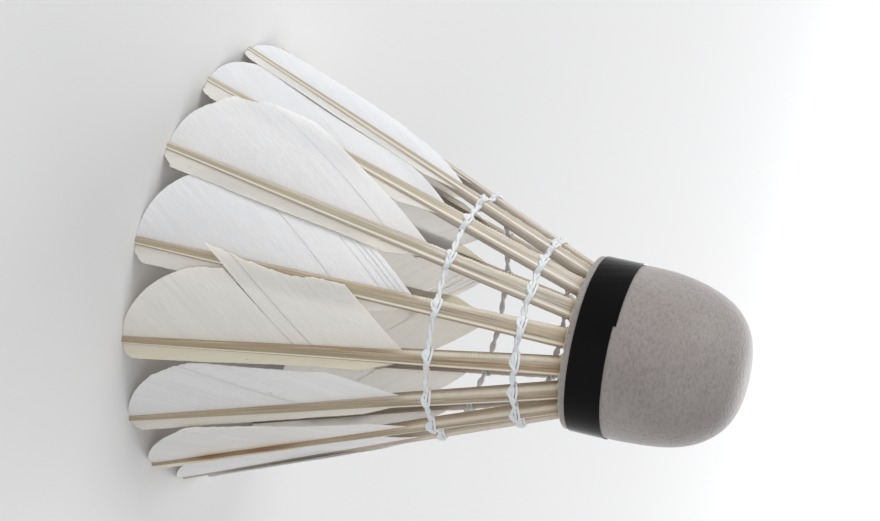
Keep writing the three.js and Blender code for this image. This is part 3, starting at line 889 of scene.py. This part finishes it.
def knot_place(row):
    """Where the knot is: the point of the CAD row that stands out furthest beyond its neighbours."""
    points = node_points("thread_row_" + row)
    drop = FACE_HEIGHT - points[:, 2]
    angle = np.arctan2(points[:, 1], points[:, 0])
    nearest = np.abs((angle[:, None] - ANGLES[None] + math.pi) % (2 * math.pi) - math.pi).min(1)
    between = nearest > STEP * 0.36
    stand = np.hypot(points[:, 0], points[:, 1]) - skirt_radius(angle, drop)
    return points[between][np.argmax(stand[between])][:2]


def thread_row_piece(row, material, seed):
    """A row of thread: twisted strands all the way round, two turns round each quill, a knot and loose
    hairs."""
    drop = FACE_HEIGHT - ROW_HEIGHTS[row]
    strands = Strands()
    path, along, total = even_steps(row_route(drop), STRAND_STEP)
    add_twist(strands, path, along, total, seed)
    for index in range(FEATHERS):
        for shift in WRAP_SHIFTS:
            strands.add(wrap_loop(index, drop, shift, seed + index), WRAP_RADIUS, 8, True, index + shift)
    add_knot(strands, path[np.argmin(np.hypot(*(path[:, :2] - knot_place(row)).T))])
    add_hairs(strands, path, np.random.default_rng(seed))
    piece = strands.piece("twisted_thread_" + row, material)
    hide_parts("thread_row_" + row)
    return piece


# ---------------- cork head

COVER_WALL = 0.5
COVER_SEGMENTS = 180
LIP_RADIUS = 0.2  # of the cover's rounded lower lip


def head_profile():
    """Outline of the leather cover, read off the CAD cover's own corners: heights with the radius at each."""
    points = node_points("cork_cover")
    radii = np.hypot(points[:, 0], points[:, 1])
    heights = np.unique(np.round(points[:, 2], 2))
    return np.array([(height, radii[np.abs(points[:, 2] - height) < 0.02].max()) for height in heights])


def superellipse_head(inset, steps):
    """Radii and heights over the dome: a quarter of a superellipse, fitted to the CAD cover's outline."""
    turn = np.linspace(0, math.pi / 2, steps)
    radius = (CORK_RADIUS - inset) * np.cos(turn) ** (2 / DOME_POWER)
    radius[-1] = 0.0
    height = DOME_START + (NOSE_HEIGHT - DOME_START - inset) * np.sin(turn) ** (2 / DOME_POWER)
    return radius, height


def dome_shape():
    """The height at which the dome starts and the power of its superellipse: of many pairs, the one whose
    squared distance from the CAD outline's points is least."""
    outline = head_profile()
    best = (1e9, 0, 0)
    outer = outline[(outline[:, 1] > 3) & (outline[:, 0] > FACE_HEIGHT + 1)]
    for start in np.linspace(FACE_HEIGHT + 3, FACE_HEIGHT + 8, 51):
        for power in np.linspace(2, 4, 81):
            lifted = np.clip((outer[:, 0] - start) / (NOSE_HEIGHT - start), 0, 1)
            radius = CORK_RADIUS * (1 - lifted ** power) ** (1 / power)
            error = ((radius - outer[:, 1]) ** 2).sum()
            if error < best[0]:
                best = (error, start, power)
    return best[1], best[2]


DOME_START, DOME_POWER = dome_shape()


def cover_swell(turn, heights):
    """How far the leather stands out where the cork under it is uneven: two slow waves round the head that
    fade out towards the tape and the nose."""
    fade = np.clip((heights - FACE_HEIGHT - 7) / 4, 0, 1) * np.clip((NOSE_HEIGHT - heights) / 6, 0, 1)
    return 0.035 * fade * (np.sin(3 * turn + heights * 0.35) + 0.7 * np.sin(5 * turn - heights * 0.5 + 1))


def cover_piece(material):
    """The leather cover: the dome turned round the axis with a rounded lower lip, and faint swells where the
    cork under it is uneven. It closes at the nose in one point, outside and inside."""
    dome_radius, dome_height = superellipse_head(0, 70)
    straight = np.linspace(FACE_HEIGHT + LIP_RADIUS, DOME_START, 22)[:-1]
    lip_turn = np.linspace(-math.pi / 2, 0, 5)
    lip_radius = CORK_RADIUS - LIP_RADIUS + LIP_RADIUS * np.cos(lip_turn)
    lip_height = FACE_HEIGHT + LIP_RADIUS + LIP_RADIUS * np.sin(lip_turn)
    inner_radius, inner_height = superellipse_head(COVER_WALL, 30)
    inner_radius, inner_height = inner_radius[::-1], inner_height[::-1]
    radius = np.concatenate([inner_radius[1:], [CORK_RADIUS - COVER_WALL], lip_radius,
                             np.full(len(straight), CORK_RADIUS), dome_radius[:-1]])
    height = np.concatenate([inner_height[1:], [FACE_HEIGHT], lip_height, straight, dome_height[:-1]])
    turn = np.linspace(0, 2 * math.pi, COVER_SEGMENTS, endpoint=False)
    grid = around_axis(radius[:, None] + cover_swell(turn, height[:, None]), turn, height[:, None])
    rows = len(radius)
    vertices = np.concatenate([grid.reshape(-1, 3), [[0, 0, NOSE_HEIGHT - COVER_WALL], [0, 0, NOSE_HEIGHT]]])
    side = np.arange(COVER_SEGMENTS)
    following = np.roll(side, -1)
    inner_pole = np.full(COVER_SEGMENTS, rows * COVER_SEGMENTS)
    outer_pole = inner_pole + 1
    end = (rows - 1) * COVER_SEGMENTS
    faces = grid_faces(rows, COVER_SEGMENTS, wrap_columns=True).tolist()
    faces += np.stack([following, side, inner_pole], -1).tolist()
    faces += np.stack([end + side, end + following, outer_pole], -1).tolist()
    piece = make_piece("leather_cover", vertices, faces, material, (), 60)
    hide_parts("cork_cover")
    return piece


TAPE_WALL = 0.13
TAPE_START = math.radians(255)  # where the inner end lies
TAPE_LAP = math.radians(31)  # how far the outer end goes past it
TAPE_CREEP = 0.42  # how far the strip creeps away from the nose in its one turn


def tape_piece(material):
    """The tape: one strip wound a little more than once round, so that its end lies on its start. It creeps
    as it winds, so the start stands out at the nose side as a step; the outer end is wavy, with puckers by
    it."""
    wound = 2 * math.pi + TAPE_LAP
    share = np.linspace(0, 1, 420)[:, None]
    rows = np.linspace(0, 1, 15)[None]
    angle = TAPE_START - share * wound
    over = np.clip((share * wound - 2 * math.pi) / 0.10, 0, 1)
    creep = TAPE_CREEP * np.clip((share - 0.1) / 0.8, 0, 1)
    height = TAPE_LOW + 0.02 + (TAPE_HIGH - TAPE_LOW - 0.04 - creep) * rows
    torn = 0.45 * smooth_noise(rows * 6, 88, 1.0) + 0.2 * smooth_noise(rows * 15, 89, 1.0)
    angle = angle + share ** 80 * torn / CORK_RADIUS
    beside = bell(share * wound, wound, 0.30) + bell(share * wound, TAPE_LAP, 0.30)
    pucker = 0.05 * np.abs(smooth_noise(angle * 11 + rows * 2.0, 31, 1.0)) * beside
    swell = 0.010 * np.abs(smooth_noise(angle * 4 + rows * 0.7, 33, 1.0))
    radius = CORK_RADIUS + 0.03 + TAPE_WALL * 1.12 * over + pucker + swell

    outside, inside = (around_axis(radius + wall, angle, height) for wall in (TAPE_WALL, 0.0))
    vertices, faces = thin_sheet(outside, inside)
    piece = make_piece("gloss_tape", vertices, faces.tolist(), material, (), 35)
    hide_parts("cork_tape")
    return piece


def glue_piece(material):
    """Dried glue on the cork's end face: a ring with a soft fillet that climbs each quill, as a height over a
    grid of radius and angle."""
    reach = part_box("root_glue")[1].x / MM
    inner = 2 * FACE_RADIUS - reach
    radii = np.linspace(inner, reach - 0.05, 22)
    turn = np.linspace(0, 2 * math.pi, 384, endpoint=False)
    radius, angle = np.meshgrid(radii, turn, indexing="ij")
    wide, high = quill_half(0.0)
    gap = (angle[..., None] - ANGLES + math.pi) % (2 * math.pi) - math.pi
    beside = np.clip(np.abs(gap).min(-1) * radius - wide * 0.9, 0, None)
    beyond = np.clip(np.abs(radius - FACE_RADIUS) - high * 0.9, 0, None)
    distance = np.hypot(beside, beyond)
    edge = np.clip((radius - inner) / 0.5, 0, 1) * np.clip((reach - radius) / 0.5, 0, 1)
    lump = 0.05 * smooth_noise(angle * 14 + radius, 61, 1.0)
    depth = (0.16 + 0.85 * np.exp(-distance / 0.30) + lump) * edge + 0.02
    under = around_axis(radius, angle, FACE_HEIGHT - 0.01 - depth)
    upper = around_axis(radius, angle, FACE_HEIGHT - 0.005)
    rows, columns = radius.shape
    count = rows * columns
    front = grid_faces(rows, columns, wrap_columns=True)
    back = front[:, ::-1] + count
    ring = np.arange(columns)
    after = np.roll(ring, -1)
    inside = np.stack([ring, ring + count, after + count, after], -1)
    last = (rows - 1) * columns
    outside = np.stack([after + last, after + last + count, ring + last + count, ring + last], -1)
    faces = np.concatenate([front, back, inside, outside])[:, ::-1]
    vertices = np.concatenate([under.reshape(-1, 3), upper.reshape(-1, 3)])
    piece = make_piece("glue_fillets", vertices, faces.tolist(), material, (), 50)
    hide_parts("root_glue")
    return piece


# ---------------- assembly

materials = {
    "vane": vane_material(),
    "quill": quill_material(),
    "cover": leather_material(),
    "tape": tape_material(),
    "thread": thread_material(),
    "cork": cork_material(),
    "glue": glue_material(),
}

pieces = [cover_piece(materials["cover"]), tape_piece(materials["tape"]), glue_piece(materials["glue"])]
for number in range(FEATHERS):
    pieces.append(quill_piece(number, materials["quill"]))
    pieces.append(wide_vane_piece(number, materials["vane"]))
    pieces.append(narrow_vane_piece(number, materials["vane"]))
for seed, row in enumerate(ROW_HEIGHTS):
    pieces.append(thread_row_piece(row, materials["thread"], 20 + 100 * seed))
for piece in pieces:
    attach(piece, "root")
for node in ("cork_core", "cork_nose"):
    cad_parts[node].data.materials.clear()
    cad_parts[node].data.materials.append(materials["cork"])

# ---------------- floor, light and camera

FLOOR_REACH = 6.0  # metres, as the places of the lights are
LIGHT_AIM = np.array([0, 0, 0.05])
CAMERA_RISE = math.radians(16.46)  # above the level of the skirt, looking down past the nose
CAMERA_ROLL = math.radians(102.33)
CAMERA_DISTANCE = 300.0
CAMERA_SHIFTED = (-21.30, 12.04)  # right and up in its own picture, so that the whole shuttlecock is framed
CAMERA_LENS = 83.36


def make_floor():
    """A plain pale floor at the level of the feather tips, wide enough to fill every view."""
    corners = np.array([[-1, -1, 0], [1, -1, 0], [1, 1, 0], [-1, 1, 0]]) * FLOOR_REACH / MM
    shade = Shader("studio_floor")
    cloud = shade.noise(shade.place(), 3.0, 2.0)
    tone = shade.ramp(cloud, (0.3, (0.80, 0.80, 0.80)), (0.7, (0.815, 0.815, 0.815)))
    shade.set(Base_Color=tone, Roughness=0.9, Specular_IOR_Level=0.1)
    floor = make_piece("floor", corners, [(0, 1, 2, 3)], shade.material)


def facing(back, upright):
    """Three axes for a light that looks against a direction: Z along the direction, X square to it and to the
    upright one, and Y square to both."""
    back = np.array(back) / np.linalg.norm(back)
    side = np.cross(upright, back)
    side /= np.linalg.norm(side)
    return side, np.cross(back, side), back


def place_object(name, data, axes, place):
    """A light or camera at a place in metres, turned so that its own axes lie along the three given."""
    holder = bpy.data.objects.new(name, data)
    bpy.context.scene.collection.objects.link(holder)
    holder.matrix_world = Matrix.Translation(tuple(place)) @ Matrix(np.stack(axes, 1).tolist()).to_4x4()
    return holder


def make_softbox(name, place, size, power, colour):
    """A square soft light at a place, facing the middle of the shuttlecock."""
    light = bpy.data.lights.new(name, "AREA")
    light.shape = "SQUARE"
    light.size = size
    light.energy = power
    light.color = colour
    place_object(name, light, facing(np.array(place) - LIGHT_AIM, (0, 0.3, 1.0)), place)


def make_sun(name, towards, power, spread, colour):
    """A sun that shines from a direction, as wide as its spread in degrees, so that its shadows are soft."""
    light = bpy.data.lights.new(name, "SUN")
    light.energy = power
    light.angle = math.radians(spread)
    light.color = colour
    place_object(name, light, facing(towards, (0, 1.0, 0)), (0, 0, 0))


def make_world():
    """A pale, slightly cool sky all round. The colours are shown as they are, with no film curve."""
    world = bpy.data.worlds.new("studio")
    world.use_nodes = True
    world.node_tree.nodes["Background"].inputs["Color"].default_value = (0.97, 0.98, 1.0, 1)
    world.node_tree.nodes["Background"].inputs["Strength"].default_value = 0.46
    bpy.context.scene.world = world
    bpy.context.scene.view_settings.view_transform = "Standard"


def make_camera():
    """The camera looks level with the skirt's side from a little above, rolled so that the cork is at the
    right."""
    back = np.array([0, -math.cos(CAMERA_RISE), math.sin(CAMERA_RISE)])
    level = np.array([1.0, 0, 0])
    above = np.cross(back, level)
    right = math.cos(CAMERA_ROLL) * level + math.sin(CAMERA_ROLL) * above
    up = -math.sin(CAMERA_ROLL) * level + math.cos(CAMERA_ROLL) * above
    place = FACE_HEIGHT * UPWARD + CAMERA_DISTANCE * back + CAMERA_SHIFTED[0] * right + CAMERA_SHIFTED[1] * up
    camera = bpy.data.cameras.new("camera")
    camera.lens = CAMERA_LENS
    camera.clip_start = 0.01
    bpy.context.scene.camera = place_object("camera", camera, (right, up, back), place * MM)


make_floor()
make_world()
make_sun("soft_key", (-0.94, -0.12, 0.34), 1.5, 45, (1.0, 0.995, 0.985))
make_softbox("back_softbox", (-0.35, 1.75, 0.75), 1.0, 17.0, (0.97, 0.98, 1.0))
make_softbox("far_side_softbox", (0.70, 1.60, 0.60), 0.8, 8.0, (1.0, 0.98, 0.96))
make_softbox("front_softbox", (0.25, -1.75, 0.9), 1.0, 9.5, (1.0, 0.99, 0.98))
make_camera()
